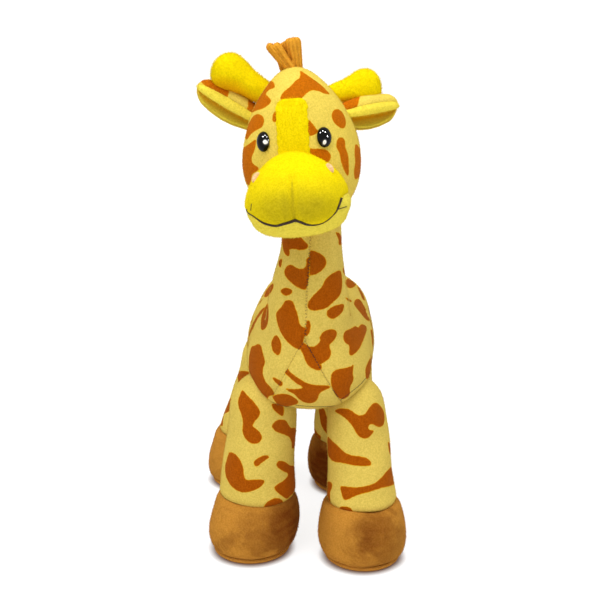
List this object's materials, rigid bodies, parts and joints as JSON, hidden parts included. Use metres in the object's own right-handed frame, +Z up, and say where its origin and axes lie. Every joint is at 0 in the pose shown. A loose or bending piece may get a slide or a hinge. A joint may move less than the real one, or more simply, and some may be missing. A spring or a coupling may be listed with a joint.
{
  "type": "plush giraffe",
  "caption": "Standing stuffed plush giraffe with a spotted coat, plain muzzle and horns, curled ears, mane tuft, tail and brown hooves.",
  "frame": {"origin": "centre of the part's box, on the plane that the soles stand on", "axes": "+Z up; the giraffe faces -Y, and its own left side is +X"},
  "size_m": [0.155, 0.2686, 0.3738],
  "materials": {
    "printed_plush": "matte",
    "yellow_plush": "matte",
    "pale_plush": "matte",
    "brown_plush": "matte",
    "mane_plush": "matte",
    "nostril_thread": "satin",
    "eye_plastic": "gloss",
    "washer_plastic": "satin"
  },
  "bodies": {
    "torso": {"torso": "printed_plush", "neck": "printed_plush", "mane_neck": "mane_plush"},
    "head": {"head": "printed_plush", "forehead_blaze": "yellow_plush", "muzzle": "yellow_plush", "lower_jaw": "pale_plush", "eye_left": "eye_plastic", "eye_right": "eye_plastic", "eye_washer_left": "washer_plastic", "eye_washer_right": "washer_plastic", "nostril_left": "nostril_thread", "nostril_right": "nostril_thread", "horn_left": "yellow_plush", "horn_right": "yellow_plush", "mane_tuft": "mane_plush", "mane_head": "mane_plush"},
    "ear_left": {"ear_back_left": "printed_plush", "ear_lining_left": "yellow_plush"},
    "ear_right": {"ear_back_right": "printed_plush", "ear_lining_right": "yellow_plush"},
    "front_leg_left": {"front_leg_left": "printed_plush", "hoof_front_left": "brown_plush", "sole_front_left": "brown_plush"},
    "front_leg_right": {"front_leg_right": "printed_plush", "hoof_front_right": "brown_plush", "sole_front_right": "brown_plush"},
    "rear_leg_left": {"rear_leg_left": "printed_plush", "hoof_rear_left": "brown_plush", "sole_rear_left": "brown_plush"},
    "rear_leg_right": {"rear_leg_right": "printed_plush", "hoof_rear_right": "brown_plush", "sole_rear_right": "brown_plush"},
    "tail": {"tail": "printed_plush", "tail_tuft": "mane_plush"}
  },
  "joints": [
    {"name": "head_turn", "type": "hinge", "parent": "torso", "child": "head", "pos_m": [0.00571, -0.05814, 0.25], "axis": [0, 0, 1], "range_deg": [-20, 20], "stiffness_Nm_per_rad": 0.3},
    {"name": "ear_left_flex", "type": "hinge", "parent": "head", "child": "ear_left", "pos_m": [0.03474, -0.05441, 0.31965], "axis": [-0.0111, -0.4227, 0.9062], "range_deg": [-12, 5], "stiffness_Nm_per_rad": 0.01},
    {"name": "ear_right_flex", "type": "hinge", "parent": "head", "child": "ear_right", "pos_m": [-0.03505, -0.05018, 0.31689], "axis": [0.3365, -0.5147, 0.7886], "range_deg": [-4, 12], "stiffness_Nm_per_rad": 0.01},
    {"name": "hip_front_left_flex", "type": "hinge", "parent": "torso", "child": "front_leg_left", "pos_m": [0.03991, -0.05414, 0.1125], "axis": [1, 0, 0], "range_deg": [-10, 10], "stiffness_Nm_per_rad": 2},
    {"name": "hip_front_right_flex", "type": "hinge", "parent": "torso", "child": "front_leg_right", "pos_m": [-0.02649, -0.05214, 0.1125], "axis": [1, 0, 0], "range_deg": [-10, 10], "stiffness_Nm_per_rad": 2},
    {"name": "hip_rear_left_flex", "type": "hinge", "parent": "torso", "child": "rear_leg_left", "pos_m": [0.03451, 0.05986, 0.1125], "axis": [1, 0, 0], "range_deg": [-10, 10], "stiffness_Nm_per_rad": 2},
    {"name": "hip_rear_right_flex", "type": "hinge", "parent": "torso", "child": "rear_leg_right", "pos_m": [-0.02509, 0.06386, 0.1125], "axis": [1, 0, 0], "range_deg": [-10, 10], "stiffness_Nm_per_rad": 2},
    {"name": "tail_flex", "type": "hinge", "parent": "torso", "child": "tail", "pos_m": [0.00471, 0.10286, 0.16], "axis": [1, 0, 0], "range_deg": [-2, 32], "stiffness_Nm_per_rad": 0.01}
  ]
}
